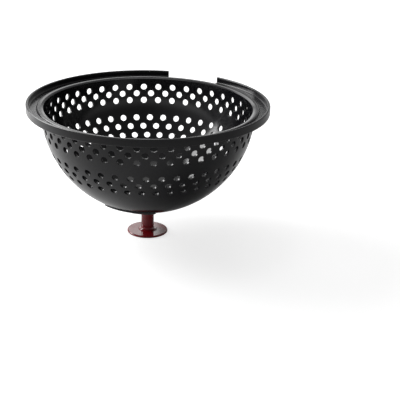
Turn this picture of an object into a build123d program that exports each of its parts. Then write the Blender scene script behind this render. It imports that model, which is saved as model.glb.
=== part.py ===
"""Perforated popping dome: a lid that turns over into a serving bowl on its knob.

Bowl pose, millimetres. The origin is the centre of the knob disc's flat face,
on which the bowl stands. +Z is up and +Y points at the notch in the rim.
"""
import os
from math import cos, radians, sin, sqrt

from build123d import *

os.makedirs("parts", exist_ok=True)

# ---------------------------------------------------------------- driving dimensions
TOTAL_HEIGHT = 161.0       # knob face to the top of the rim skirt
RIM_RADIUS = 140.0         # outside of the rim skirt
SKIRT_WALL = 3.0
SKIRT_HEIGHT = 9.4         # outer face of the rim, flange included
FLANGE_THICKNESS = 2.6     # floor of the channel between the skirt and the inner bead
CHANNEL_WIDTH = 9.5
BEAD_WIDTH = 4.0
BEAD_DROP = 4.6            # top of the bead below the top of the skirt
SKIRT_LOWER_ROUND = 1.4    # rounded corners of the rim, from the dome out to the bead
SKIRT_OUTER_ROUND = 1.0
SKIRT_INNER_ROUND = 0.8
CHANNEL_OUTER_ROUND = 1.0
CHANNEL_INNER_ROUND = 0.8
BEAD_OUTER_ROUND = 1.4
BEAD_INNER_ROUND = 2.0
FLANGE_ROOT_ROUND = 1.2

DOME_RADIUS = 123.3        # outside of the hemispherical wall
DOME_WALL = 3.0
DOME_CENTRE_Z = 155.0

NOTCH_ANGLE = 27.5         # gap in the skirt and flange, centred on +Y
NOTCH_RADIUS = 128.0       # the gap stops just outside the bead

HOLE_RADIUS = 3.75
HOLE_DRILL = 12.0          # length of the cylinder that cuts each hole, centred on the outer skin
# height of each ring of holes, number of holes, angle of its first hole from -Y
HOLE_RINGS = (
    (144.2, 42, 1.4),
    (136.0, 42, -2.9),
    (127.6, 42, 1.4),
    (106.6, 42, -2.4),
    (96.7, 42, 1.9),
    (86.7, 41, 3.1),
)

PANEL_LENGTH = 64.0        # raised oval panel on the dome, opposite the notch
PANEL_WIDTH = 23.0
PANEL_HEIGHT = 1.6
PANEL_BORDER = 2.4
PANEL_RECESS = 0.7
PANEL_TILT = 24.0          # degrees from the pole of the dome
PANEL_ROOT = 1.5           # how far the panel reaches into the wall, so that the two fuse
PANEL_REACH = 12.0         # enough to pass the panel's curve on both sides of its plane

BOSS_RADIUS = 12.0         # flat seat for the knob at the pole
BOSS_EDGE = 1.0            # run of the slope that blends the boss into the dome
BOSS_FACE_Z = 31.2
INNER_PAD_Z = 35.2         # flat seat for the washer inside the bowl
STEM_HOLE_RADIUS = 2.8

KNOB_DISC_RADIUS = 24.0
KNOB_DISC_THICKNESS = 2.4
KNOB_FOOT_ROUND = 0.8      # edge of the disc's flat face
KNOB_RIM_ROUND = 1.2       # edge of the disc on the stem's side
KNOB_STEM_RADIUS = 7.4
KNOB_STEM_FILLET = 4.0     # collar where the stem meets the disc
KNOB_BASE_RADIUS = 10.5
KNOB_BASE_THICKNESS = 1.5
KNOB_BASE_FILLET = 1.2
KNOB_BASE_ROUND = 0.7
KNOB_BORE_RADIUS = 2.75
KNOB_POCKET_RADIUS = 5.4
KNOB_POCKET_DEPTH = 4.6

GASKET_THICKNESS = 1.2
GASKET_RADIUS = 9.6

SCREW_RADIUS = 2.5         # M5 x 40
SCREW_LENGTH = 40.0
HEAD_RADIUS = 4.75
HEAD_HEIGHT = 3.2
HEAD_ROUND = 1.6
SCREW_TIP_CHAMFER = 0.5
DRIVE_WIDTH = 1.3
DRIVE_DEPTH = 1.9
DRIVE_LENGTH = 5.4
HEAD_WASHER_RADIUS = 5.0
HEAD_WASHER_THICKNESS = 0.8

INNER_WASHER_RADIUS = 7.5
INNER_WASHER_THICKNESS = 1.2
LOCK_WASHER_RADIUS = 4.6
LOCK_WASHER_THICKNESS = 1.2
LOCK_WASHER_SPLIT = 0.8
WASHER_HOLE_RADIUS = 2.65

NUT_ACROSS_FLATS = 8.0
NUT_HEX_HEIGHT = 4.2
NUT_CORNER_CHAMFER = 0.5
NUT_NECK_HEIGHT = 2.0
NUT_DOME_RADIUS = 3.75
NUT_BORE_RADIUS = 2.53
NUT_BORE_DEPTH = 7.4

# ---------------------------------------------------------------- worked-out places
FLANGE_BOTTOM_Z = TOTAL_HEIGHT - SKIRT_HEIGHT
CHANNEL_FLOOR_Z = FLANGE_BOTTOM_Z + FLANGE_THICKNESS
BEAD_TOP_Z = TOTAL_HEIGHT - BEAD_DROP
SKIRT_INNER_RADIUS = RIM_RADIUS - SKIRT_WALL
BEAD_OUTER_RADIUS = SKIRT_INNER_RADIUS - CHANNEL_WIDTH
BEAD_INNER_RADIUS = BEAD_OUTER_RADIUS - BEAD_WIDTH
INNER_RADIUS = DOME_RADIUS - DOME_WALL
KNOB_TOP_Z = BOSS_FACE_Z - GASKET_THICKNESS
HEAD_SEAT_Z = KNOB_POCKET_DEPTH - HEAD_WASHER_THICKNESS
LOCK_WASHER_Z = INNER_PAD_Z + INNER_WASHER_THICKNESS
NUT_Z = LOCK_WASHER_Z + LOCK_WASHER_THICKNESS


def sphere_height(radius, distance):
    """Height of the lower half of a sphere about the dome's centre, at a distance from the axis."""
    return DOME_CENTRE_Z - sqrt(radius**2 - distance**2)


def sphere_reach(radius, height):
    """Distance from the axis of that sphere at a height."""
    return sqrt(radius**2 - (DOME_CENTRE_Z - height) ** 2)


def round_corner(sketch, corner, radius):
    """Round the sketch corner nearest to a point."""
    fillet(sketch.vertices().sort_by_distance(corner)[0], radius)


# ---------------------------------------------------------------- raised oval panel
panel_tilt = radians(PANEL_TILT)
panel_normal = Vector(0, -sin(panel_tilt), -cos(panel_tilt))
panel_plane = Plane(
    origin=Vector(0, 0, DOME_CENTRE_Z) + panel_normal * DOME_RADIUS,
    x_dir=(1, 0, 0),
    z_dir=panel_normal,
)

with BuildPart() as oval_panel:
    with BuildSketch(panel_plane):
        Ellipse(PANEL_LENGTH / 2, PANEL_WIDTH / 2)
    extrude(amount=PANEL_REACH, both=True)
    with Locations((0, 0, DOME_CENTRE_Z)):
        Sphere(DOME_RADIUS + PANEL_HEIGHT, mode=Mode.INTERSECT)
        Sphere(DOME_RADIUS - PANEL_ROOT, mode=Mode.SUBTRACT)

with BuildPart() as panel_field:
    with BuildSketch(panel_plane):
        Ellipse(PANEL_LENGTH / 2 - PANEL_BORDER, PANEL_WIDTH / 2 - PANEL_BORDER)
    extrude(amount=PANEL_REACH, both=True)
    with Locations((0, 0, DOME_CENTRE_Z)):
        Sphere(DOME_RADIUS + PANEL_HEIGHT - PANEL_RECESS, mode=Mode.SUBTRACT)

# ---------------------------------------------------------------- bowl shell
boss_reach = BOSS_RADIUS + BOSS_EDGE
boss_top = (boss_reach, sphere_height(DOME_RADIUS, boss_reach))
pad_edge = (sphere_reach(INNER_RADIUS, INNER_PAD_Z), INNER_PAD_Z)
wall_top = (sphere_reach(DOME_RADIUS, FLANGE_BOTTOM_Z), FLANGE_BOTTOM_Z)
outer_mid = (DOME_RADIUS / sqrt(2), DOME_CENTRE_Z - DOME_RADIUS / sqrt(2))
inner_mid = (INNER_RADIUS / sqrt(2), DOME_CENTRE_Z - INNER_RADIUS / sqrt(2))
skirt_foot = (RIM_RADIUS, FLANGE_BOTTOM_Z)
skirt_outer_edge = (RIM_RADIUS, TOTAL_HEIGHT)
skirt_inner_edge = (SKIRT_INNER_RADIUS, TOTAL_HEIGHT)
channel_outer_corner = (SKIRT_INNER_RADIUS, CHANNEL_FLOOR_Z)
channel_inner_corner = (BEAD_OUTER_RADIUS, CHANNEL_FLOOR_Z)
bead_outer_edge = (BEAD_OUTER_RADIUS, BEAD_TOP_Z)
bead_inner_edge = (BEAD_INNER_RADIUS, BEAD_TOP_Z)
inner_equator = (INNER_RADIUS, DOME_CENTRE_Z)
half_notch = radians(NOTCH_ANGLE / 2)
notch_reach = RIM_RADIUS + SKIRT_WALL
notch_left = (-notch_reach * sin(half_notch), notch_reach * cos(half_notch))
notch_right = (notch_reach * sin(half_notch), notch_reach * cos(half_notch))

with BuildPart() as bowl_shell:
    with BuildSketch(Plane.XZ) as section:
        with BuildLine():
            Polyline((0, INNER_PAD_Z), (0, BOSS_FACE_Z), (BOSS_RADIUS, BOSS_FACE_Z), boss_top)
            ThreePointArc(boss_top, outer_mid, wall_top)
            Polyline(
                wall_top,
                skirt_foot,
                skirt_outer_edge,
                skirt_inner_edge,
                channel_outer_corner,
                channel_inner_corner,
                bead_outer_edge,
                bead_inner_edge,
                inner_equator,
            )
            ThreePointArc(inner_equator, inner_mid, pad_edge)
            Line(pad_edge, (0, INNER_PAD_Z))
        make_face()
        round_corner(section, wall_top, FLANGE_ROOT_ROUND)
        round_corner(section, skirt_foot, SKIRT_LOWER_ROUND)
        round_corner(section, skirt_outer_edge, SKIRT_OUTER_ROUND)
        round_corner(section, skirt_inner_edge, SKIRT_INNER_ROUND)
        round_corner(section, channel_outer_corner, CHANNEL_OUTER_ROUND)
        round_corner(section, channel_inner_corner, CHANNEL_INNER_ROUND)
        round_corner(section, bead_outer_edge, BEAD_OUTER_ROUND)
        round_corner(section, bead_inner_edge, BEAD_INNER_ROUND)
    revolve(axis=Axis.Z)

    # notch: the skirt and the flange are cut away as far in as the bead
    with BuildSketch(Plane.XY.offset(FLANGE_BOTTOM_Z - FLANGE_THICKNESS)):
        with BuildLine():
            Polyline(notch_left, (0, 0), notch_right)
            ThreePointArc(notch_left, (0, notch_reach), notch_right)
        make_face()
        Circle(NOTCH_RADIUS, mode=Mode.SUBTRACT)
    extrude(amount=2 * SKIRT_HEIGHT, mode=Mode.SUBTRACT)

    add(oval_panel.part)
    add(panel_field.part, mode=Mode.SUBTRACT)

    # rings of round holes, each square to the wall
    hole_places = []
    for ring_height, hole_count, first_angle in HOLE_RINGS:
        ring_radius = sphere_reach(DOME_RADIUS, ring_height)
        for hole in range(hole_count):
            turn = radians(first_angle + hole * 360 / hole_count)
            centre = Vector(ring_radius * sin(turn), -ring_radius * cos(turn), ring_height)
            outward = centre - Vector(0, 0, DOME_CENTRE_Z)
            hole_places.append(Plane(origin=centre, z_dir=outward).location)
    with Locations(*hole_places):
        Cylinder(HOLE_RADIUS, HOLE_DRILL, mode=Mode.SUBTRACT)
    with Locations((0, 0, BOSS_FACE_Z)):
        Cylinder(STEM_HOLE_RADIUS, HOLE_DRILL, mode=Mode.SUBTRACT)
bowl_shell.part.label = "bowl_shell"

# ---------------------------------------------------------------- knob, which is also the foot
disc_foot_edge = (KNOB_DISC_RADIUS, 0)
disc_top_edge = (KNOB_DISC_RADIUS, KNOB_DISC_THICKNESS)
stem_foot = (KNOB_STEM_RADIUS, KNOB_DISC_THICKNESS)
stem_head = (KNOB_STEM_RADIUS, KNOB_TOP_Z - KNOB_BASE_THICKNESS)
base_edge = (KNOB_BASE_RADIUS, KNOB_TOP_Z - KNOB_BASE_THICKNESS)

with BuildPart() as knob:
    with BuildSketch(Plane.XZ) as section:
        with BuildLine():
            Polyline(
                (KNOB_POCKET_RADIUS, 0),
                disc_foot_edge,
                disc_top_edge,
                stem_foot,
                stem_head,
                base_edge,
                (KNOB_BASE_RADIUS, KNOB_TOP_Z),
                (KNOB_BORE_RADIUS, KNOB_TOP_Z),
                (KNOB_BORE_RADIUS, KNOB_POCKET_DEPTH),
                (KNOB_POCKET_RADIUS, KNOB_POCKET_DEPTH),
                close=True,
            )
        make_face()
        round_corner(section, disc_foot_edge, KNOB_FOOT_ROUND)
        round_corner(section, disc_top_edge, KNOB_RIM_ROUND)
        round_corner(section, stem_foot, KNOB_STEM_FILLET)
        round_corner(section, stem_head, KNOB_BASE_FILLET)
        round_corner(section, base_edge, KNOB_BASE_ROUND)
    revolve(axis=Axis.Z)
knob.part.label = "knob"

# ---------------------------------------------------------------- screw through the knob
head_face_z = HEAD_SEAT_Z - HEAD_HEIGHT
screw_tip_z = HEAD_SEAT_Z + SCREW_LENGTH

with BuildPart() as knob_screw:
    with BuildSketch(Plane.XZ) as section:
        with BuildLine():
            Polyline(
                (0, head_face_z),
                (HEAD_RADIUS, head_face_z),
                (HEAD_RADIUS, HEAD_SEAT_Z),
                (SCREW_RADIUS, HEAD_SEAT_Z),
                (SCREW_RADIUS, screw_tip_z),
                (0, screw_tip_z),
                close=True,
            )
        make_face()
        round_corner(section, (HEAD_RADIUS, head_face_z), HEAD_ROUND)
    revolve(axis=Axis.Z)
    chamfer(knob_screw.faces().sort_by(Axis.Z)[-1].edges(), SCREW_TIP_CHAMFER)
    with BuildSketch(Plane.XY.offset(head_face_z)):
        Rectangle(DRIVE_LENGTH, DRIVE_WIDTH)
        Rectangle(DRIVE_WIDTH, DRIVE_LENGTH)
    extrude(amount=DRIVE_DEPTH, mode=Mode.SUBTRACT)
knob_screw.part.label = "knob_screw"

# ---------------------------------------------------------------- washers and seal


def ring(outer_radius, inner_radius, bottom, thickness):
    """Flat ring about the Z axis."""
    with BuildPart() as flat_ring:
        with BuildSketch(Plane.XY.offset(bottom)):
            Circle(outer_radius)
            Circle(inner_radius, mode=Mode.SUBTRACT)
        extrude(amount=thickness)
    return flat_ring


screw_head_washer = ring(HEAD_WASHER_RADIUS, WASHER_HOLE_RADIUS, HEAD_SEAT_Z, HEAD_WASHER_THICKNESS)
screw_head_washer.part.label = "screw_head_washer"

stem_gasket = ring(GASKET_RADIUS, STEM_HOLE_RADIUS, KNOB_TOP_Z, GASKET_THICKNESS)
stem_gasket.part.label = "stem_gasket"

inner_washer = ring(INNER_WASHER_RADIUS, WASHER_HOLE_RADIUS, INNER_PAD_Z, INNER_WASHER_THICKNESS)
inner_washer.part.label = "inner_washer"

with BuildPart() as lock_washer:
    with BuildSketch(Plane.XY.offset(LOCK_WASHER_Z)):
        Circle(LOCK_WASHER_RADIUS)
        Circle(WASHER_HOLE_RADIUS, mode=Mode.SUBTRACT)
        with Locations((LOCK_WASHER_RADIUS, 0)):
            Rectangle(2 * LOCK_WASHER_RADIUS, LOCK_WASHER_SPLIT, mode=Mode.SUBTRACT)
    extrude(amount=LOCK_WASHER_THICKNESS)
lock_washer.part.label = "lock_washer"

# ---------------------------------------------------------------- cap nut inside the bowl
nut_corner_radius = NUT_ACROSS_FLATS / sqrt(3) - NUT_CORNER_CHAMFER / 2
nut_dome_z = NUT_Z + NUT_HEX_HEIGHT + NUT_NECK_HEIGHT

with BuildPart() as cap_nut:
    with BuildSketch(Plane.XY.offset(NUT_Z)):
        RegularPolygon(NUT_ACROSS_FLATS / 2, 6, major_radius=False)
    extrude(amount=NUT_HEX_HEIGHT)
    with BuildSketch(Plane.XY.offset(NUT_Z)):
        Circle(nut_corner_radius)
    extrude(amount=NUT_HEX_HEIGHT, mode=Mode.INTERSECT)
    with BuildSketch(Plane.XY.offset(NUT_Z)):
        Circle(NUT_DOME_RADIUS)
    extrude(amount=nut_dome_z - NUT_Z)
    with Locations((0, 0, nut_dome_z)):
        Sphere(NUT_DOME_RADIUS)
    with BuildSketch(Plane.XY.offset(NUT_Z)):
        Circle(NUT_BORE_RADIUS)
    extrude(amount=NUT_BORE_DEPTH, mode=Mode.SUBTRACT)
cap_nut.part.label = "cap_nut"

# ---------------------------------------------------------------- one file per piece
for piece in (
    bowl_shell,
    knob,
    knob_screw,
    screw_head_washer,
    stem_gasket,
    inner_washer,
    lock_washer,
    cap_nut,
):
    export_step(piece.part, f"parts/{piece.part.label}.step")
    size = piece.part.bounding_box().size
    print(piece.part.label, f"{size.X:.1f} x {size.Y:.1f} x {size.Z:.1f} mm")
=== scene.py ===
# %% [markdown]
# # A perforated popping dome in Blender
#
# The object is a black plastic hemisphere full of holes. As a lid it lets the
# steam out, and turned over it is a serving bowl that stands on its own red knob.
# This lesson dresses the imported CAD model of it: first the camera, the light and
# the table, then the finishes, and then each piece, from the large to the small.

# %% Load the fixed frame
from math import atan2, cos, pi, radians, sin, sqrt

import bmesh
import bpy
from mathutils import Matrix, Vector


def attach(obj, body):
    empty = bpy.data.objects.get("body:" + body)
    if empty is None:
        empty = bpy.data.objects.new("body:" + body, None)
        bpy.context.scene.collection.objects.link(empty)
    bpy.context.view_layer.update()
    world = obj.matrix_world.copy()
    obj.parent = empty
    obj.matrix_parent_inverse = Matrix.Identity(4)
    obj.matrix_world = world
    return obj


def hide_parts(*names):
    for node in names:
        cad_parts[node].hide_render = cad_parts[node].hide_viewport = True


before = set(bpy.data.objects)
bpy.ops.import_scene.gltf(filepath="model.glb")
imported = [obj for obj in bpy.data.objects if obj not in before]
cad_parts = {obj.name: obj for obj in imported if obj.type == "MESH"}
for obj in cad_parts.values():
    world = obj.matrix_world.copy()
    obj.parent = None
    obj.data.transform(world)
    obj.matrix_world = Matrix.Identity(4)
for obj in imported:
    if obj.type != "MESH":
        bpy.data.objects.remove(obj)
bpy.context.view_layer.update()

MM = 0.001

# %% [markdown]
# The camera comes first, because every later choice is seen through it. The
# photograph was taken a little above the rim, from well over a metre away, with the
# notch in the rim turned about 24 degrees from straight behind. A camera could be
# aimed by eye with an empty to track, but here its place was worked out from the
# curves of the rim, the dome and the knob and from the rows of holes, so it is
# written as turns: round the bowl, down towards it, and a slight roll.

# %% Camera
AZIMUTH = 24.288           # degrees round the bowl from the side of the oval panel
ELEVATION = 16.39          # degrees above the rim plane
DISTANCE = 1.304           # metres from the centre of the rim plane
AIM_RIGHT = 2.844          # the bowl sits left of the middle of the frame
AIM_DOWN = 4.946           # and above it
ROLL = 1.485               # clockwise in the picture
LENS = 101.69              # mm, on a sensor 36 mm wide
RIM_TOP = 161              # mm above the table
RIM_CENTRE = Vector((0, 0, RIM_TOP * MM))

away = Vector((0, -cos(radians(ELEVATION)), sin(radians(ELEVATION))))
camera = bpy.data.objects.new("photo_camera", bpy.data.cameras.new("photo_camera"))
camera.data.sensor_width = 36
camera.data.lens = LENS
camera.data.clip_start = 0.05
camera.matrix_world = (
    Matrix.Translation(RIM_CENTRE + Matrix.Rotation(radians(AZIMUTH), 3, "Z") @ away * DISTANCE)
    @ Matrix.Rotation(radians(AZIMUTH - AIM_RIGHT), 4, "Z")
    @ Matrix.Rotation(radians(90 - ELEVATION - AIM_DOWN), 4, "X")
    @ Matrix.Rotation(radians(ROLL), 4, "Z")
)
bpy.context.scene.collection.objects.link(camera)
bpy.context.scene.camera = camera
bpy.context.scene.view_settings.view_transform = "Standard"
print("camera at", tuple(round(value, 3) for value in camera.location))

# %% [markdown]
# Colours are written as the hex values that a colour picker shows. Shader sockets
# want linear light, so one function turns them. Another adds a shader node, sets
# it and wires it, and a third starts a material that has a Principled BSDF.

# %% Helpers for colours and shader nodes
def linear(hex_colour):
    """The linear RGBA of an sRGB hex colour."""
    channels = [int(hex_colour[place:place + 2], 16) / 255 for place in (1, 3, 5)]
    return [c / 12.92 if c <= 0.04045 else ((c + 0.055) / 1.055) ** 2.4 for c in channels] + [1.0]


def add_node(tree, kind, settings={}, inputs={}):
    """Adds a node, sets its properties, and sets or links its inputs."""
    made = tree.nodes.new(kind)
    for name, value in settings.items():
        setattr(made, name, value)
    for name, value in inputs.items():
        if isinstance(value, bpy.types.NodeSocket):
            tree.links.new(value, made.inputs[name])
        else:
            made.inputs[name].default_value = value
    return made


def new_material(name, settings):
    """A material with its Principled BSDF set.
    Gives the material, its tree, the shader and the object coordinates."""
    made = bpy.data.materials.new(name)
    made.use_nodes = True
    shader = made.node_tree.nodes["Principled BSDF"]
    for socket, value in settings.items():
        shader.inputs[socket].default_value = value
    place = add_node(made.node_tree, "ShaderNodeTexCoord").outputs["Object"]
    return made, made.node_tree, shader, place


# %% [markdown]
# The photograph is a catalogue shot on pure white, and gloss black plastic shows
# its surroundings more than its own colour. The thin bright lines on the rim say
# that a lit sheet stood low behind the bowl, strongest on the left, while the room
# above and in front was dark. A ring of lamps could do that, but a world that is a
# band of light round the horizon is simpler: it fades upwards and to the front
# right. The camera itself sees plain white, and so do rays that pass through.

# %% Room: a band of light round the horizon
world = bpy.context.scene.world or bpy.data.worlds.new("studio")
bpy.context.scene.world = world
world.use_nodes = True
room = world.node_tree
room.nodes.clear()
BRIGHT_SIDE = radians(AZIMUTH - 120)     # to the left of the bowl and behind it

direction = add_node(room, "ShaderNodeTexCoord").outputs["Generated"]
sideways = add_node(room, "ShaderNodeVectorMath", {"operation": "DOT_PRODUCT"}, {
    0: direction, 1: (sin(BRIGHT_SIDE), -cos(BRIGHT_SIDE), 0)})
gradient = add_node(room, "ShaderNodeMapRange", {}, {
    "Value": sideways.outputs["Value"],
    "From Min": -0.5, "From Max": 0.7, "To Min": 0.65, "To Max": 1.5})
upward = add_node(room, "ShaderNodeSeparateXYZ", {}, {0: direction})
fade = add_node(room, "ShaderNodeMapRange", {"interpolation_type": "SMOOTHSTEP"}, {
    "Value": upward.outputs["Z"],
    "From Min": 0.145, "From Max": 0.31, "To Min": 1.0, "To Max": 0.27})
band = add_node(room, "ShaderNodeMath", {"operation": "MULTIPLY"}, {
    0: gradient.outputs[0], 1: fade.outputs[0]})

ray = add_node(room, "ShaderNodeLightPath")
gloss = add_node(room, "ShaderNodeMapRange", {}, {
    "Value": ray.outputs["Is Glossy Ray"], "To Min": 0.6, "To Max": 1.0})
reflected = add_node(room, "ShaderNodeMath", {"operation": "MULTIPLY"}, {
    0: band.outputs[0], 1: gloss.outputs[0]})
direct = add_node(room, "ShaderNodeMath", {"operation": "MAXIMUM"}, {
    0: ray.outputs["Is Camera Ray"], 1: ray.outputs["Is Transmission Ray"]})
strength = add_node(room, "ShaderNodeMix", {}, {
    "Factor": direct.outputs[0], 2: reflected.outputs[0], 3: 1.0})
sky = add_node(room, "ShaderNodeBackground", {}, {
    "Color": linear("#FFFFFF"), "Strength": strength.outputs[0]})
add_node(room, "ShaderNodeOutputWorld", {}, {"Surface": sky.outputs[0]})
print("world nodes", len(room.nodes))

# %% [markdown]
# The table is a pale matt sheet. It glows for the camera alone, a little under the
# bowl and more further out, so that it comes out white in the picture, without a
# horizon, and still keeps a soft shadow. It could be lit until it is white, but
# that would burn out the object. The sheet lies a hair under the bowl's foot, so
# that the two faces don't fight.

# %% Floor
FLOOR_REACH = 3            # metres each way from the bowl
FLOOR_DROP = 0.3           # mm

floor_mesh = bmesh.new()
bmesh.ops.create_grid(floor_mesh, x_segments=1, y_segments=1, size=FLOOR_REACH)
bmesh.ops.translate(floor_mesh, verts=floor_mesh.verts, vec=(0, 0, -FLOOR_DROP * MM))
floor = bpy.data.objects.new("floor", bpy.data.meshes.new("floor"))
floor_mesh.to_mesh(floor.data)
floor_mesh.free()
bpy.context.scene.collection.objects.link(floor)
table, tree, shader, place = new_material("pale_table_sheet", {
    "Base Color": linear("#D4D4D4"), "Roughness": 0.6, "Specular IOR Level": 0.2,
    "Emission Color": linear("#FFFFFF")})
ray = add_node(tree, "ShaderNodeLightPath")
reach = add_node(tree, "ShaderNodeVectorMath", {"operation": "LENGTH"}, {0: place})
outward = add_node(tree, "ShaderNodeMapRange", {}, {
    "Value": reach.outputs["Value"],
    "From Min": 0.4, "From Max": 1.4, "To Min": 0.72, "To Max": 1.0})
glow = add_node(tree, "ShaderNodeMath", {"operation": "MULTIPLY"}, {
    0: ray.outputs["Is Camera Ray"], 1: outward.outputs[0]})
tree.links.new(glow.outputs[0], shader.inputs["Emission Strength"])
floor.data.materials.append(table)
print("floor", 2 * FLOOR_REACH, "m wide,", FLOOR_DROP, "mm under the foot")

# %% [markdown]
# Three soft lamps do the modelling: the key on the left, a weak one above, and one
# behind that draws the white line along the bead of the rim. Each is a square area
# lamp, because a small hard lamp would leave points of light on the gloss.

# %% Lamps
LAMP_AIM = Vector((0, 0, 0.1))     # metres, about half way up the bowl


def soft_lamp(name, azimuth, elevation, distance, size, power):
    """A square lamp that faces the bowl. Its azimuth is counted round from the camera's.
    Angles are in degrees, the distance and the size in metres, the power in watts."""
    lamp = bpy.data.objects.new(name, bpy.data.lights.new(name, "AREA"))
    lamp.data.size = size
    lamp.data.energy = power
    turn = radians(AZIMUTH + azimuth)
    rise = radians(elevation)
    side = Vector((sin(turn) * cos(rise), -cos(turn) * cos(rise), sin(rise)))
    lamp.location = LAMP_AIM + side * distance
    lamp.rotation_euler = side.to_track_quat("Z", "Y").to_euler()
    lamp.visible_camera = False
    bpy.context.scene.collection.objects.link(lamp)
    print(name, "at", tuple(round(value, 2) for value in lamp.location))


soft_lamp("key_softbox", azimuth=-115, elevation=35, distance=0.85, size=0.6, power=10)
soft_lamp("top_softbox", azimuth=180, elevation=75, distance=1.4, size=1.0, power=3)
soft_lamp("back_softbox", azimuth=-172, elevation=28, distance=2.0, size=0.6, power=1.7)

# %% [markdown]
# ## Finishes
#
# Every pattern below is sized in millimetres. A noise texture has features of about
# one over its scale, and a wave texture repeats every 2 pi / 20 over its scale.
# Each finish starts from typical values for the material, then was moved until its
# tones matched the photograph.
#
# Wear shows first on edges, where hands, sinks and cupboards touch. It could be
# painted on, but the Bevel node finds the edges by itself: where a normal averaged
# over a small radius leaves the true one, the surface turns. A noise then breaks
# the worn line up into chips, as real wear is. Both finishes make these edges paler:
# on the knob that is wear, and on the black nylon it is partly wear and partly a
# painted highlight.

# %% Helpers for patterns and worn edges
def noise_scale(size):
    """The scale of a noise texture whose features are of a size in mm."""
    return 1 / (size * MM)


def wave_scale(period):
    """The scale of a wave texture that repeats at a period in mm."""
    return 2 * pi / 20 / (period * MM)


def edge_mask(tree, place, radius, first, full, chip_size, chips_from):
    """How much each point lies on an edge, from 0 to 1, broken into chips. The normal is averaged over a
    radius in mm, and the edge starts and is full where the cosine of its angle to the true one is first
    and full."""
    averaged = add_node(tree, "ShaderNodeBevel", {"samples": 4}, {"Radius": radius * MM})
    true = add_node(tree, "ShaderNodeNewGeometry")
    leaving = add_node(tree, "ShaderNodeVectorMath", {"operation": "DOT_PRODUCT"}, {
        0: averaged.outputs[0], 1: true.outputs["Normal"]})
    edge = add_node(tree, "ShaderNodeMapRange", {}, {
        "Value": leaving.outputs["Value"],
        "From Min": first, "From Max": full, "To Min": 0.0, "To Max": 1.0})
    chips = add_node(tree, "ShaderNodeTexNoise", {}, {
        "Vector": place, "Scale": noise_scale(chip_size), "Detail": 4.0})
    patchy = add_node(tree, "ShaderNodeMapRange", {}, {
        "Value": chips.outputs[0], "From Min": chips_from, "From Max": 0.62})
    pale_edges = add_node(tree, "ShaderNodeMath", {"operation": "MULTIPLY"}, {
        0: edge.outputs[0], 1: patchy.outputs[0]})
    return pale_edges.outputs[0]


# %% [markdown]
# The shell is glossy black nylon from a polished mould. Four things keep it from
# looking like computer black: the plastic is a little uneven in tone, the gloss
# wanders where it has been wiped, the surface has a shallow orange peel, and the
# edges are paler, partly scuffed to a dull grey and partly a painted highlight.
# The tone comes first.

# %% Black nylon: pale edges, partly wear and partly a painted highlight, and tone
nylon, tree, shader, place = new_material("injection_moulded_black_nylon", {"IOR": 1.5})
# edges that the tone below lightens: partly wear, partly a painted highlight
pale_edges = edge_mask(tree, place, radius=0.5, first=0.995, full=0.9, chip_size=1.5, chips_from=0.45)

# soft 30 mm clouds of about 12 % each way, and edges up to five times as light: wear and painted highlight
clouds = add_node(tree, "ShaderNodeTexNoise", {}, {
    "Vector": place, "Scale": noise_scale(30), "Detail": 3.0})
cloudy = add_node(tree, "ShaderNodeMapRange", {}, {
    "Value": clouds.outputs[0], "To Min": 0.76, "To Max": 1.24})
lighter = add_node(tree, "ShaderNodeMath", {"operation": "MULTIPLY_ADD"}, {
    0: pale_edges, 1: 4.0, 2: cloudy.outputs[0]})
tone = add_node(tree, "ShaderNodeHueSaturation", {}, {
    "Color": linear("#101013"), "Value": lighter.outputs[0]})
tree.links.new(tone.outputs[0], shader.inputs["Base Color"])
print("nylon nodes for the tone", len(tree.nodes))

# %% [markdown]
# Two kinds of marks come from use. A cloth leaves faint straight wiping marks, and
# use as a lid rubs rings into the floor of the rim's channel. Scratches could be
# drawn one by one, but a noise stretched twelve times gives the first, and a wave
# in rings round the axis gives the second.

# %% Black nylon: wiping marks and rub rings
CHANNEL_FLOOR = 154.2      # mm above the table
RUBBED_MIDDLE = 132.2      # mm from the axis
RUBBED_REACH = 4.2         # mm to each side of that, just short of the channel's walls

# 0.5 mm streaks drawn out twelve times, along two directions
marks = []
for turn in (25, -50):
    stretched = add_node(tree, "ShaderNodeMapping", {}, {
        "Vector": place, "Rotation": (0.3, 0.2, radians(turn)), "Scale": (1, 12, 12)})
    streaks = add_node(tree, "ShaderNodeTexNoise", {}, {
        "Vector": stretched.outputs[0], "Scale": noise_scale(6), "Detail": 5.0, "Roughness": 0.6})
    marks.append(add_node(tree, "ShaderNodeMapRange", {}, {
        "Value": streaks.outputs[0], "From Min": 0.58, "From Max": 0.72}).outputs[0])
wiped = add_node(tree, "ShaderNodeMath", {"operation": "MAXIMUM"}, {0: marks[0], 1: marks[1]})

# rings 0.9 mm apart, only where the surface is the channel's floor
spot = add_node(tree, "ShaderNodeSeparateXYZ", {}, {0: place})
flat = add_node(tree, "ShaderNodeVectorMath", {"operation": "MULTIPLY"}, {0: place, 1: (1, 1, 0)})
reach = add_node(tree, "ShaderNodeVectorMath", {"operation": "LENGTH"}, {0: flat.outputs[0]})
in_channel = add_node(tree, "ShaderNodeMath", {"operation": "COMPARE"}, {
    0: reach.outputs["Value"], 1: RUBBED_MIDDLE * MM, 2: RUBBED_REACH * MM})
on_floor = add_node(tree, "ShaderNodeMath", {"operation": "COMPARE"}, {
    0: spot.outputs["Z"], 1: CHANNEL_FLOOR * MM, 2: 0.3 * MM})
seat = add_node(tree, "ShaderNodeMath", {"operation": "MULTIPLY"}, {
    0: in_channel.outputs[0], 1: on_floor.outputs[0]})
rings = add_node(tree, "ShaderNodeTexWave", {"wave_type": "RINGS", "rings_direction": "Z"}, {
    "Vector": place, "Scale": wave_scale(0.9), "Distortion": 3.0, "Detail": 2.0,
    "Detail Scale": noise_scale(8)})
rubbed = add_node(tree, "ShaderNodeMath", {"operation": "MULTIPLY"}, {
    0: seat.outputs[0], 1: rings.outputs["Fac"]})
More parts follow.
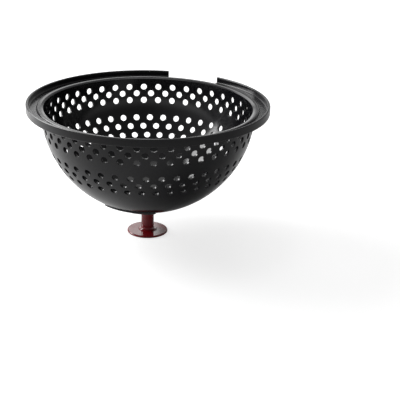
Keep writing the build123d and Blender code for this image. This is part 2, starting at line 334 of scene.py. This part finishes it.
print("nylon nodes with the marks", len(tree.nodes))

# %% [markdown]
# What the eye takes for plastic is mostly gloss. The mould was polished, so the
# roughness starts low, and each kind of wear adds a little to it. The relief is far
# too shallow to model, so it is a bump: orange peel, with the marks sunk into it.

# %% Black nylon: gloss and relief
# 0.11 to 0.17 rough in the clouds
dull = add_node(tree, "ShaderNodeMapRange", {}, {
    "Value": clouds.outputs[0], "To Min": 0.11, "To Max": 0.17}).outputs[0]
# 0.08 rougher in a wiping mark, 0.18 on a worn edge, 0.12 in a rub ring
for wear, added in ((wiped.outputs[0], 0.08), (pale_edges, 0.18), (rubbed.outputs[0], 0.12)):
    dull = add_node(tree, "ShaderNodeMath", {"operation": "MULTIPLY_ADD"}, {
        0: wear, 1: added, 2: dull}).outputs[0]
tree.links.new(dull, shader.inputs["Roughness"])

# 4 mm orange peel 0.008 mm deep, then the marks and rings 0.003 mm deep
peel = add_node(tree, "ShaderNodeTexNoise", {}, {
    "Vector": place, "Scale": noise_scale(4), "Detail": 2.0})
peel_relief = add_node(tree, "ShaderNodeBump", {}, {
    "Height": peel.outputs[0], "Distance": 0.008 * MM})
scores = add_node(tree, "ShaderNodeMath", {"operation": "ADD"}, {
    0: wiped.outputs[0], 1: rubbed.outputs[0]})
relief = add_node(tree, "ShaderNodeBump", {"invert": True}, {
    "Height": scores.outputs[0], "Distance": 0.003 * MM, "Normal": peel_relief.outputs[0]})
tree.links.new(relief.outputs[0], shader.inputs["Normal"])
print("nylon nodes in all", len(tree.nodes))

# %% [markdown]
# The knob is compression moulded from a deep red phenolic. The melt runs along the
# stem and out over the disc, which leaves fine lengthwise streaks of a slightly
# different red. Handling keeps it bright, so it is glossier than the shell, and the
# rim of the disc, on which the bowl stands, is rubbed pale. A clear coat could be
# all of its gloss, but only a quarter of one is used, over a glossy base.

# %% Red phenolic
phenolic, tree, shader, place = new_material("moulded_red_phenolic", {
    "IOR": 1.55, "Coat Weight": 0.25, "Coat Roughness": 0.04})

# 0.8 mm streaks drawn out ten times along the stem
stretched = add_node(tree, "ShaderNodeMapping", {}, {"Vector": place, "Scale": (1, 1, 0.1)})
streaks = add_node(tree, "ShaderNodeTexNoise", {}, {
    "Vector": stretched.outputs[0], "Scale": noise_scale(0.8), "Detail": 4.0, "Roughness": 0.55})
pale_edges = edge_mask(tree, place, radius=0.4, first=0.999, full=0.97, chip_size=1.2, chips_from=0.42)

# colour: streaks 20 % lighter and darker, worn edges paler and less saturated
streaky = add_node(tree, "ShaderNodeMapRange", {}, {
    "Value": streaks.outputs[0], "From Min": 0.3, "From Max": 0.7, "To Min": 0.8, "To Max": 1.2})
lighter = add_node(tree, "ShaderNodeMath", {"operation": "MULTIPLY_ADD"}, {
    0: pale_edges, 1: 0.7, 2: streaky.outputs[0]})
greyer = add_node(tree, "ShaderNodeMapRange", {}, {"Value": pale_edges, "To Min": 1.0, "To Max": 0.85})
tone = add_node(tree, "ShaderNodeHueSaturation", {}, {
    "Color": linear("#86101A"), "Value": lighter.outputs[0], "Saturation": greyer.outputs[0]})
tree.links.new(tone.outputs[0], shader.inputs["Base Color"])

# 0.07 to 0.13 rough with the finger marks, 0.2 rougher on a worn edge
smears = add_node(tree, "ShaderNodeTexNoise", {}, {
    "Vector": place, "Scale": noise_scale(7), "Detail": 3.0})
smeared = add_node(tree, "ShaderNodeMapRange", {}, {
    "Value": smears.outputs[0], "From Min": 0.3, "From Max": 0.7, "To Min": 0.07, "To Max": 0.13})
dull = add_node(tree, "ShaderNodeMath", {"operation": "MULTIPLY_ADD"}, {
    0: pale_edges, 1: 0.2, 2: smeared.outputs[0]})
tree.links.new(dull.outputs[0], shader.inputs["Roughness"])

# relief: 2.5 mm orange peel 0.004 mm deep over streaks 0.001 mm deep
flow = add_node(tree, "ShaderNodeBump", {}, {"Height": streaks.outputs[0], "Distance": 0.001 * MM})
peel = add_node(tree, "ShaderNodeTexNoise", {}, {
    "Vector": place, "Scale": noise_scale(2.5), "Detail": 1.0})
relief = add_node(tree, "ShaderNodeBump", {}, {
    "Height": peel.outputs[0], "Distance": 0.004 * MM, "Normal": flow.outputs[0]})
tree.links.new(relief.outputs[0], shader.inputs["Normal"])
print("phenolic nodes", len(tree.nodes))

# %% [markdown]
# The fasteners are stainless steel, made in three ways. The screw and the cap nut
# are turned, so they carry fine rings and their highlights fan round the axis. The
# flat washers are stamped from brushed strip, with straight grain. The split washer
# is coiled from spring wire and tumbled, so it is the darkest and the most matt.
# Three separate materials could be written, but they differ only in their grain.

# %% Stainless steels
def stainless(name, colour, roughness, anisotropy, grain, settings, inputs):
    """Stainless steel over a grain made by a texture node of the given kind, settings and inputs."""
    made, tree, shader, place = new_material(name, {"Metallic": 1.0, "Anisotropic": anisotropy})
    lines = add_node(tree, grain, settings, {"Vector": place, **inputs})
    stains = add_node(tree, "ShaderNodeTexNoise", {}, {
        "Vector": place, "Scale": noise_scale(3), "Detail": 4.0})
    shade = add_node(tree, "ShaderNodeMapRange", {}, {
        "Value": stains.outputs[0],
        "From Min": 0.3, "From Max": 0.7, "To Min": 0.86, "To Max": 1.06})
    tone = add_node(tree, "ShaderNodeHueSaturation", {}, {
        "Color": linear(colour), "Value": shade.outputs[0]})
    tree.links.new(tone.outputs[0], shader.inputs["Base Color"])
    dull = add_node(tree, "ShaderNodeMapRange", {}, {
        "Value": stains.outputs[0], "From Min": 0.3, "From Max": 0.7,
        "To Min": roughness + 0.06, "To Max": roughness - 0.04})
    tree.links.new(dull.outputs[0], shader.inputs["Roughness"])
    round_axis = add_node(tree, "ShaderNodeTangent", {"direction_type": "RADIAL", "axis": "Z"})
    tree.links.new(round_axis.outputs[0], shader.inputs["Tangent"])
    relief = add_node(tree, "ShaderNodeBump", {}, {
        "Height": lines.outputs["Fac"], "Distance": 0.0015 * MM})
    tree.links.new(relief.outputs[0], shader.inputs["Normal"])
    print(name, "nodes", len(tree.nodes))
    return made


turned_steel = stainless(
    "turned_stainless_steel", "#C9C6C1", 0.2, 0.5,
    "ShaderNodeTexWave", {"wave_type": "RINGS", "rings_direction": "Z"},
    {"Scale": wave_scale(0.25), "Distortion": 1.0, "Detail": 2.0})
stamped_steel = stainless(
    "stamped_stainless_strip", "#BFBDBA", 0.26, 0.0,
    "ShaderNodeTexWave", {"wave_type": "BANDS", "bands_direction": "Y"},
    {"Scale": wave_scale(0.3), "Distortion": 4.0, "Detail": 3.0, "Detail Scale": 0.5})
spring_steel = stainless(
    "tumbled_spring_steel", "#8F8C88", 0.38, 0.0,
    "ShaderNodeTexNoise", {}, {"Scale": noise_scale(0.25), "Detail": 3.0})

# %% [markdown]
# The gasket is cut from black silicone sheet. It is matt, it has a fine bloom from
# the press, and it holds a little pale dust. One fine noise does the bloom in both
# the gloss and the relief, because on the real sheet they are the same grain.

# %% Silicone
silicone, tree, shader, place = new_material("pressed_black_silicone", {
    "IOR": 1.41, "Sheen Weight": 0.1})
grain = add_node(tree, "ShaderNodeTexNoise", {}, {
    "Vector": place, "Scale": noise_scale(0.3), "Detail": 3.0})
dust = add_node(tree, "ShaderNodeTexNoise", {}, {
    "Vector": place, "Scale": noise_scale(2), "Detail": 5.0})
dusty = add_node(tree, "ShaderNodeMapRange", {}, {
    "Value": dust.outputs[0], "From Min": 0.5, "From Max": 0.7, "To Min": 1.0, "To Max": 1.9})
tone = add_node(tree, "ShaderNodeHueSaturation", {}, {
    "Color": linear("#202023"), "Value": dusty.outputs[0]})
tree.links.new(tone.outputs[0], shader.inputs["Base Color"])
dull = add_node(tree, "ShaderNodeMapRange", {}, {
    "Value": grain.outputs[0], "To Min": 0.5, "To Max": 0.68})
tree.links.new(dull.outputs[0], shader.inputs["Roughness"])
relief = add_node(tree, "ShaderNodeBump", {}, {"Height": grain.outputs[0], "Distance": 0.01 * MM})
tree.links.new(relief.outputs[0], shader.inputs["Normal"])
print("silicone nodes", len(tree.nodes))

# %% [markdown]
# ## The shell
#
# The real shell is one injection moulding, 3 mm thick: a half sphere that runs out
# into a flange, an upright skirt and a bead, with a flat seat at the pole for the
# knob. A mesh sphere could be cut and extruded into that, but a moulding that is
# round about one axis is best drawn as its section. The corners go in as a chain of
# edges. The two long edges of the wall are subdivided and pushed out onto their
# spheres, and a vertex bevel rounds each corner by its own radius.

# %% Helpers for sections and objects
DOME_HEIGHT = 155          # mm, of the dome's centre above the table
DOME_CENTRE = Vector((0, 0, DOME_HEIGHT * MM))
STEPS_ROUND = 168          # four to each hole of a ring
POINTS_ON_SKIN = 45        # added along each curve of the wall


def section_of(corners, bows={}, segments=4):
    """A chain of edges through (distance from the axis, height, rounding) corners in mm.
    It closes unless it starts and ends on the axis. Edges that bows names by number
    are pushed out onto spheres of those radii, in mm, about the dome's centre."""
    made = bmesh.new()
    points = [made.verts.new((reach * MM, 0, height * MM)) for reach, height, rounding in corners]
    open_at_axis = corners[0][0] == 0 and corners[-1][0] == 0
    following = points[1:] if open_at_axis else points[1:] + points[:1]
    edges = [made.edges.new(pair) for pair in zip(points, following)]
    for number, radius in bows.items():
        added = bmesh.ops.subdivide_edges(made, edges=[edges[number]], cuts=POINTS_ON_SKIN)
        for point in added["geom_inner"]:
            if isinstance(point, bmesh.types.BMVert):
                point.co = DOME_CENTRE + (point.co - DOME_CENTRE).normalized() * radius * MM
    for reach, height, rounding in corners:
        if rounding:
            corner = min(made.verts, key=lambda point: (point.co - Vector((reach, 0, height)) * MM).length)
            bmesh.ops.bevel(made, geom=[corner], offset=rounding * MM, offset_type="OFFSET",
                            affect="VERTICES", segments=segments, profile=0.5, material=-1)
    return made


def turned(section, steps=STEPS_ROUND):
    """Spins a section a full turn about the upright axis into a closed skin."""
    bmesh.ops.spin(section, geom=section.verts[:] + section.edges[:], cent=(0, 0, 0), axis=(0, 0, 1),
                   angle=2 * pi, steps=steps, use_merge=True)
    bmesh.ops.remove_doubles(section, verts=section.verts, dist=1e-6)
    bmesh.ops.recalc_face_normals(section, faces=section.faces)
    return section


def to_object(made, name):
    """Puts a finished bmesh in the scene as an object at the origin."""
    mesh = bpy.data.meshes.new(name)
    made.to_mesh(mesh)
    made.free()
    piece = bpy.data.objects.new(name, mesh)
    bpy.context.scene.collection.objects.link(piece)
    return piece


# %% [markdown]
# The section goes round from the screw's hole: out over the seat, up the outside of
# the wall to the flange, round the skirt, the channel and the bead, down the inside
# of the wall, and over the pad inside. Where a flat meets a wall, the meeting point
# is worked out from the wall's sphere.

# %% Spin the shell
OUTER_SKIN = 123.3         # radii of the wall's two spheres, and all sizes below, in mm
INNER_SKIN = 120.3
SCREW_HOLE = 2.8
SEAT_FACE = 31.2           # the flat under the dome, on the gasket
SEAT_RADIUS = 12.0
SEAT_ROOT = 13.0           # where the seat's cone runs into the wall
PAD_FACE = 35.2            # the flat inside, under the nut's washer
FLANGE_BOTTOM = 151.6
RIM_RADIUS = 140.0
SKIRT_INSIDE = 137.0
BEAD_OUTSIDE = 127.5
BEAD_INSIDE = 123.5
BEAD_TOP = 156.4


def skin_leg(skin, other):
    """The other leg of the right triangle whose long side is a skin's radius, to 0.001 mm."""
    return round(sqrt(skin ** 2 - other ** 2), 3)


shell = to_object(turned(section_of([
    (SCREW_HOLE, SEAT_FACE, 0), (SEAT_RADIUS, SEAT_FACE, 0.4),
    (SEAT_ROOT, DOME_HEIGHT - skin_leg(OUTER_SKIN, SEAT_ROOT), 0),
    (skin_leg(OUTER_SKIN, DOME_HEIGHT - FLANGE_BOTTOM), FLANGE_BOTTOM, 1.2),
    (RIM_RADIUS, FLANGE_BOTTOM, 1.4), (RIM_RADIUS, RIM_TOP, 1.0),
    (SKIRT_INSIDE, RIM_TOP, 0.8), (SKIRT_INSIDE, CHANNEL_FLOOR, 1.0),
    (BEAD_OUTSIDE, CHANNEL_FLOOR, 0.8), (BEAD_OUTSIDE, BEAD_TOP, 1.4),
    (BEAD_INSIDE, BEAD_TOP, 2.0), (INNER_SKIN, DOME_HEIGHT, 0),
    (skin_leg(INNER_SKIN, DOME_HEIGHT - PAD_FACE), PAD_FACE, 0), (SCREW_HOLE, PAD_FACE, 0),
], bows={2: OUTER_SKIN, 11: INNER_SKIN})), "bowl_shell_moulding")    # the wall's two long edges
print("shell before it is cut:", len(shell.data.polygons), "faces")

# %% [markdown]
# Some shapes are joined to a piece and others cut out of it. Booleans could be left
# live, but each is applied at once here, so that the next step can work on the
# result and its tool can be thrown away.

# %% Helper that joins or cuts
def combine(piece, tool, operation):
    """Joins a tool's solid to a piece, or cuts it away, and removes the tool."""
    change = piece.modifiers.new(operation, "BOOLEAN")
    change.operation = operation
    change.solver = "EXACT"
    change.object = tool
    seen = piece.evaluated_get(bpy.context.evaluated_depsgraph_get())
    whole = bpy.data.meshes.new_from_object(seen)
    piece.modifiers.clear()
    piece.data = whole
    bpy.data.objects.remove(tool)
    print(piece.name, operation, "gives", len(whole.polygons), "faces")


# %% [markdown]
# The dome carries one raised oval panel with a sunk field, left blank here. It
# could be carved out of the dome with a knife, but it is easier to spin a small
# round dish, stretch it lengthways into an oval with the same border all round,
# and drop every point to the sphere before the dish is joined to the shell.

# %% Raised oval panel
PANEL_SHORT = 11.5         # mm, half the oval's width
PANEL_STRETCH = 20.5       # mm, how much longer than wide each half of it is
PANEL_FIELD = 9.1          # mm, half the sunk field's width
PANEL_HEIGHT = 1.6         # mm over the outer skin
FIELD_HEIGHT = 0.9         # mm over the outer skin
PANEL_ROOT = -1.5          # mm, sunk into the wall
PANEL_TILT = radians(24)   # from the pole towards the side away from the notch

dish = section_of([
    (0, PANEL_ROOT, 0), (PANEL_SHORT, PANEL_ROOT, 0), (PANEL_SHORT, PANEL_HEIGHT, 0.6),
    (PANEL_FIELD, PANEL_HEIGHT, 0.4), (PANEL_FIELD - 0.2, FIELD_HEIGHT, 0.2), (0, FIELD_HEIGHT, 0),
], segments=3)
long_edges = [edge for edge in dish.edges if edge.calc_length() > 3 * MM]
bmesh.ops.subdivide_edges(dish, edges=long_edges, cuts=9)
turned(dish, steps=72)
for point in dish.verts:
    reach = Vector((point.co.x, point.co.y)).length
    if reach:
        point.co.x *= 1 + PANEL_STRETCH * MM * min(1, reach / (PANEL_FIELD * MM)) / reach
    point.co.z += sqrt((OUTER_SKIN * MM) ** 2 - point.co.x ** 2 - point.co.y ** 2)
bmesh.ops.transform(dish, verts=dish.verts, space=Matrix.Identity(4), matrix=(
    Matrix.Translation(DOME_CENTRE) @ Matrix.Rotation(pi - PANEL_TILT, 4, "X")))
combine(shell, to_object(dish, "oval_panel"), "UNION")

# %% [markdown]
# The rim has one gap, opposite the oval panel. It could be cut with a box, but the
# real gap has ends that point at the axis. So the tool is one upright face, spun
# through the gap's angle into a wedge.

# %% The gap in the rim
GAP_ANGLE = radians(27.5)
GAP_NEAR = 128             # mm from the axis, just outside the bead's face
GAP_FAR = 143              # past the skirt
GAP_LOW = 149              # mm above the table, under the flange
GAP_HIGH = 165             # over the rim

cutter = bmesh.new()
gap = [cutter.verts.new((reach * MM, 0, height * MM)) for reach, height in (
    (GAP_NEAR, GAP_LOW), (GAP_FAR, GAP_LOW), (GAP_FAR, GAP_HIGH), (GAP_NEAR, GAP_HIGH))]
cutter.faces.new(gap)
gap_start = Matrix.Rotation(pi / 2 - GAP_ANGLE / 2, 3, "Z")
bmesh.ops.rotate(cutter, verts=cutter.verts, cent=(0, 0, 0), matrix=gap_start)
bmesh.ops.spin(cutter, geom=cutter.faces[:], cent=(0, 0, 0), axis=(0, 0, 1), angle=GAP_ANGLE, steps=16)
print("gap faces", len(cutter.faces))

# %% [markdown]
# The holes come from core pins in the mould. The moulder leaves their edges a touch
# round, and those round edges are what glints in the photograph. So each hole is
# cut by a peg that flares at both skins. One peg is spun per ring, set square to
# the wall, and spin with copies carries it round. The pegs join the wedge in one
# cutter, for a single cut.

# %% Holes
HOLE = 3.75                # radius in mm
HOLE_RINGS = (             # height in mm, number of holes, angle of the first from the panel side
    (144.2, 42, 1.4), (136.0, 42, -2.9), (127.6, 42, 1.4),
    (106.6, 42, -2.4), (96.7, 42, 1.9), (86.7, 41, 3.1),
)

PEG = (                    # half its section, with heights counted outwards from the outer skin
    (0, 2.0, 0), (HOLE + 1.6, 2.0, 0), (HOLE + 1.6, 0.4, 0),               # outside the dome
    (HOLE + 0.45, -0.08, 0), (HOLE + 0.13, -0.22, 0), (HOLE, -0.55, 0),    # eases the outer edge
    (HOLE, -2.75, 0), (HOLE + 2.0, -4.75, 0), (0, -4.75, 0),               # eases the inner edge
)

for height, count, first in HOLE_RINGS:
    peg = turned(section_of(PEG), steps=18)
    drop = (DOME_CENTRE.z / MM - height) / OUTER_SKIN
    reach = sqrt(1 - drop ** 2)
    outward = Vector((reach * sin(radians(first)), -reach * cos(radians(first)), -drop))
    bmesh.ops.transform(peg, verts=peg.verts, space=Matrix.Identity(4), matrix=(
        Matrix.Translation(DOME_CENTRE + outward * OUTER_SKIN * MM)
        @ outward.to_track_quat("Z", "Y").to_matrix().to_4x4()))
    bmesh.ops.spin(peg, geom=peg.verts[:] + peg.edges[:] + peg.faces[:], cent=(0, 0, 0), axis=(0, 0, 1),
                   angle=2 * pi * (count - 1) / count, steps=count - 1, use_duplicate=True)
    ring_mesh = bpy.data.meshes.new("ring_of_pegs")
    peg.to_mesh(ring_mesh)
    cutter.from_mesh(ring_mesh)
    peg.free()
bmesh.ops.recalc_face_normals(cutter, faces=cutter.faces)
print("cutter faces", len(cutter.faces), "loose", sum(not edge.is_manifold for edge in cutter.edges))
combine(shell, to_object(cutter, "hole_pegs"), "DIFFERENCE")

# %% [markdown]
# The wedge leaves two square ends on the rim. A mould would not: each end's outline
# is eased by 0.35 mm, which also gives it an edge that catches the light.

# %% Ease the ends of the rim
EASE = 0.35                # mm


def at_gap_end(point):
    """Whether a point lies on one of the two faces that the wedge left."""
    off_the_end = abs(abs(atan2(point.co.x, point.co.y)) - GAP_ANGLE / 2)
    return off_the_end < 1e-4 and point.co.xy.length > (GAP_NEAR - 0.1) * MM


eased = bmesh.new()
eased.from_mesh(shell.data)
outline = [
    edge for edge in eased.edges
    if edge.calc_face_angle() > radians(40) and all(at_gap_end(point) for point in edge.verts)
]
bmesh.ops.bevel(eased, geom=outline, offset=EASE * MM, offset_type="OFFSET", affect="EDGES",
                segments=3, profile=0.5, material=-1, clamp_overlap=True)
eased.to_mesh(shell.data)
print("eased", len(outline), "edges, now", len(eased.faces), "faces")
eased.free()

# %% [markdown]
# A boolean leaves long thin faces between the holes, and smooth shading across them
# would ripple in the gloss. The wall is two spheres, so every face corner on one is
# given the sphere's own normal. Everywhere else the normal leans to the larger
# faces, which keeps flats flat and lets the bevels do the turning.

# %% Settle the shell's normals
def settle_normals(piece, skins=()):
    """Smooths a piece with area-weighted normals, and on spheres about the dome's centre,
    given as (radius in mm, 1 for outwards or -1 for inwards), with the spheres' own."""
    mesh = piece.data
    mesh.shade_smooth()
    mesh.set_sharp_from_angle(angle=radians(50))
    made = bmesh.new()
    made.from_mesh(mesh)
    normals = []
    for face in made.faces:
        for point in face.verts:
            spoke = point.co - DOME_CENTRE
            normal = Vector((0, 0, 0))
            if all(edge.smooth for edge in point.link_edges):
                for beside in point.link_faces:
                    normal += beside.normal * beside.calc_area()
            for radius, sign in skins:
                on_skin = abs(spoke.length - radius * MM) < 0.1 * MM
                if on_skin and face.normal.dot(spoke) * sign > 0.95 * spoke.length:
                    normal = spoke * sign
            normals.append(normal.normalized())
    made.free()
    mesh.normals_split_custom_set(normals)
    print(piece.name, "has", len(normals), "settled corners")


settle_normals(shell, (
    (OUTER_SKIN, 1), (INNER_SKIN, -1), (OUTER_SKIN + PANEL_HEIGHT, 1), (OUTER_SKIN + FIELD_HEIGHT, 1)))

# %% [markdown]
# The shell is done. Each finished piece is dressed the same way: it gets its
# material, rides the one body that this object has, and stands in for its CAD node.

# %% Dress the shell
def dress(piece, material, node_name):
    """Gives a piece its finish and puts it in place of its CAD node."""
    piece.data.materials.append(material)
    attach(piece, "root")
    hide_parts(node_name)
    print(piece.name, "stands in for", node_name, "with", len(piece.data.polygons), "faces")


dress(shell, nylon, "bowl_shell")

# %% [markdown]
# ## The knob
#
# The knob is a spool: a flat disc that is also the bowl's foot, a stem with a
# rounded collar at each end, and a small base against the dome. It is hollow, with
# a pocket in the foot for the screw's head. It could be lathed in three parts and
# joined, but as one moulding it is one section, spun once.

# %% Knob
DISC_RADIUS = 24.0         # sizes in mm, heights above the table
DISC_TOP = 2.4
STEM_RADIUS = 7.4
BASE_RADIUS = 10.5
BASE_BOTTOM = 28.5
KNOB_TOP = 30.0
KNOB_BORE = 2.75
POCKET_RADIUS = 5.4
POCKET_TOP = 4.6

knob = to_object(turned(section_of([
    (POCKET_RADIUS, 0, 0.15), (DISC_RADIUS, 0, 0.8), (DISC_RADIUS, DISC_TOP, 1.2),
    (STEM_RADIUS, DISC_TOP, 4.0), (STEM_RADIUS, BASE_BOTTOM, 1.2),
    (BASE_RADIUS, BASE_BOTTOM, 0.7), (BASE_RADIUS, KNOB_TOP, 0.1), (KNOB_BORE, KNOB_TOP, 0.1),
    (KNOB_BORE, POCKET_TOP, 0.1), (POCKET_RADIUS, POCKET_TOP, 0.3),
], segments=6), steps=96), "knob_moulding")
dress(knob, phenolic, "knob")

# %% [markdown]
# ## The screw stack
#
# One M5 screw runs up through the knob and the dome into a cap nut. The screw is a
# spun section with a cross sunk into its head: two tapered bars, cut away one after
# the other. A cross could be inset in the face, but the bars keep it crisp.

# %% Screw and its cross
HEAD_FACE = 0.6            # sizes in mm, heights above the table
HEAD_SEAT = 3.8
HEAD_RADIUS = 4.75
SHANK_RADIUS = 2.5
SCREW_TIP = 43.8
TIP_CHAMFER = 0.5
DRIVE = (5.4, 1.3, 2.4)    # a bar's length and width at the head's face, and its height
DRIVE_MIDDLE = 1.3         # so that the bars stand 0.5 mm out of the head's face

screw = to_object(turned(section_of([
    (0, HEAD_FACE, 0), (HEAD_RADIUS, HEAD_FACE, 1.6), (HEAD_RADIUS, HEAD_SEAT, 0.2),
    (SHANK_RADIUS, HEAD_SEAT, 0), (SHANK_RADIUS, SCREW_TIP - TIP_CHAMFER, 0),
    (SHANK_RADIUS - TIP_CHAMFER, SCREW_TIP, 0), (0, SCREW_TIP, 0),
], segments=8), steps=48), "cross_head_screw")

for turn in (0, pi / 2):
    drive = bmesh.new()
    bar = bmesh.ops.create_cube(drive, size=1)["verts"]
    bmesh.ops.scale(drive, verts=bar, vec=Vector(DRIVE) * MM)
    deep_end = [point for point in bar if point.co.z > 0]
    bmesh.ops.scale(drive, verts=deep_end, vec=(0.5, 0.7, 1))
    bmesh.ops.rotate(drive, verts=bar, cent=(0, 0, 0), matrix=Matrix.Rotation(turn, 3, "Z"))
    bmesh.ops.translate(drive, verts=bar, vec=(0, 0, DRIVE_MIDDLE * MM))
    combine(screw, to_object(drive, "cross_drive"), "DIFFERENCE")

# %% [markdown]
# The thread could be faked with a bump, but then the screw, taken out, would be a
# plain pin. So the V of the thread is one triangle, and spin with a rise per step
# carries it up the shank as a tool that cuts the groove.

# %% Thread
PITCH = 0.8                # mm, coarse M5
TURNS = 49                 # enough to run out past the tip
STEPS_IN_TURN = 24
GROOVE_START = 5.5         # mm above the table
GROOVE_FLOOR = 2.05        # mm from the axis
GROOVE_MOUTH = 2.6         # mm from the axis, just outside the shank
GROOVE_HALF_WIDTH = 0.37   # mm at the mouth

groove = bmesh.new()
notch = [groove.verts.new(Vector(corner) * MM) for corner in (
    (GROOVE_FLOOR, 0, GROOVE_START), (GROOVE_MOUTH, 0, GROOVE_START - GROOVE_HALF_WIDTH),
    (GROOVE_MOUTH, 0, GROOVE_START + GROOVE_HALF_WIDTH))]
groove.faces.new(notch)
bmesh.ops.spin(groove, geom=groove.faces[:], cent=(0, 0, 0), axis=(0, 0, 1),
               dvec=(0, 0, PITCH * MM / STEPS_IN_TURN), angle=2 * pi * TURNS, steps=STEPS_IN_TURN * TURNS)
bmesh.ops.recalc_face_normals(groove, faces=groove.faces)
combine(screw, to_object(groove, "thread_groove"), "DIFFERENCE")
dress(screw, turned_steel, "knob_screw")

# %% [markdown]
# Stamped washers have one rounded edge, where the punch pulled the strip in, and
# one crisp one. So the top edges get a larger rounding than the bottom edges. They
# could be cylinders with a hole cut out, but a spun ring needs no cut.

# %% Washers and gasket
WASHER_HOLE = 2.65         # radius in mm
INNER_WASHER_TOP = 36.4    # mm above the table
LOCK_WASHER_TOP = 37.6
CRISP = 0.08               # mm, the rounding of a bottom edge


def ring(name, inner, outer, bottom, top, roll):
    """A flat ring between two radii and two heights in mm, with its top edges rounded by roll."""
    return to_object(turned(section_of([
        (inner, bottom, CRISP), (outer, bottom, CRISP), (outer, top, roll), (inner, top, roll),
    ], segments=3), steps=72), name)


head_washer = ring("flat_washer_under_head", inner=WASHER_HOLE, outer=5.0,
                   bottom=HEAD_SEAT, top=POCKET_TOP, roll=0.2)
dress(head_washer, stamped_steel, "screw_head_washer")
inner_washer = ring("flat_washer_in_bowl", inner=WASHER_HOLE, outer=7.5,
                    bottom=PAD_FACE, top=INNER_WASHER_TOP, roll=0.3)
dress(inner_washer, stamped_steel, "inner_washer")
gasket = ring("silicone_gasket", inner=SCREW_HOLE, outer=9.6,
              bottom=KNOB_TOP, top=SEAT_FACE, roll=0.15)
dress(gasket, silicone, "stem_gasket")

# %% [markdown]
# The split washer springs because its ring is cut through. It could be a short
# coil, but clamped under the nut it lies flat, so it is the same ring with a slot
# sawn through one side.

# %% Split washer
BLADE = (4.0, 0.8, 3.0)    # mm, longer than the ring is wide, as thick as the slot, and taller
BLADE_PLACE = (3.7, 0, 37.0)

split = ring("split_lock_washer", inner=WASHER_HOLE, outer=4.6,
             bottom=INNER_WASHER_TOP, top=LOCK_WASHER_TOP, roll=0.15)
saw = bmesh.new()
blade = bmesh.ops.create_cube(saw, size=1)["verts"]
bmesh.ops.scale(saw, verts=blade, vec=Vector(BLADE) * MM)
bmesh.ops.translate(saw, verts=blade, vec=Vector(BLADE_PLACE) * MM)
combine(split, to_object(saw, "saw_slot"), "DIFFERENCE")
dress(split, spring_steel, "lock_washer")

# %% [markdown]
# The nut is turned from hexagon bar. So it is made the same way: a six-sided bar,
# cut down to what it shares with a spun ring whose corners are chamfered, and then
# joined to the closed dome, which already has the blind bore in it.

# %% Cap nut
ACROSS_FLATS = 8           # mm
BAR_RADIUS = ACROSS_FLATS / sqrt(3)      # mm, to a corner
BAR_LENGTH = 5             # mm, a little over the hexagon's height
HEX_MIDDLE = 39.7          # mm above the table
HEX_TOP = 41.8
HEX_CORNER = 4.369         # mm from the axis, where the chamfered corners end
HEX_FACE = 4.05            # radius in mm of the flat that the chamfer leaves
HEX_INSIDE = 3.0           # radius in mm of the ring's hole, which the dome fills
CHAMFER = 0.2              # mm high
NUT_DOME = 3.75            # radius in mm
NUT_TOP = 47.55            # mm above the table
BORE = 2.53                # radius in mm, with a cone at its mouth and its end
BORE_CONE = 0.3            # mm wide and high at the mouth

bar = bmesh.new()
bmesh.ops.create_cone(bar, cap_ends=True, segments=6, radius1=BAR_RADIUS * MM,
                      radius2=BAR_RADIUS * MM, depth=BAR_LENGTH * MM)
bmesh.ops.rotate(bar, verts=bar.verts, cent=(0, 0, 0), matrix=Matrix.Rotation(pi / 6, 3, "Z"))
bmesh.ops.translate(bar, verts=bar.verts, vec=(0, 0, HEX_MIDDLE * MM))
uprights = [edge for edge in bar.edges if abs((edge.verts[0].co - edge.verts[1].co).z) > MM]
bmesh.ops.bevel(bar, geom=uprights, offset=0.12 * MM, offset_type="OFFSET", affect="EDGES",
                segments=2, profile=0.5, material=-1)
nut = to_object(bar, "acorn_cap_nut")
combine(nut, to_object(turned(section_of([
    (HEX_INSIDE, LOCK_WASHER_TOP, 0), (HEX_FACE, LOCK_WASHER_TOP, 0),
    (HEX_CORNER, LOCK_WASHER_TOP + CHAMFER, 0), (HEX_CORNER, HEX_TOP - CHAMFER, 0),
    (HEX_FACE, HEX_TOP, 0), (HEX_INSIDE, HEX_TOP, 0),
]), steps=72), "chamfered_ring"), "INTERSECT")
combine(nut, to_object(turned(section_of([
    (0, 45.0, 0), (BORE, 44.2, 0), (BORE, LOCK_WASHER_TOP + BORE_CONE, 0),
    (BORE + BORE_CONE, LOCK_WASHER_TOP, 0), (NUT_DOME, LOCK_WASHER_TOP, 0),
    (NUT_DOME, NUT_TOP, NUT_DOME - 0.001), (0, NUT_TOP, 0),
], segments=12), steps=72), "closed_dome"), "UNION")
dress(nut, turned_steel, "cap_nut")
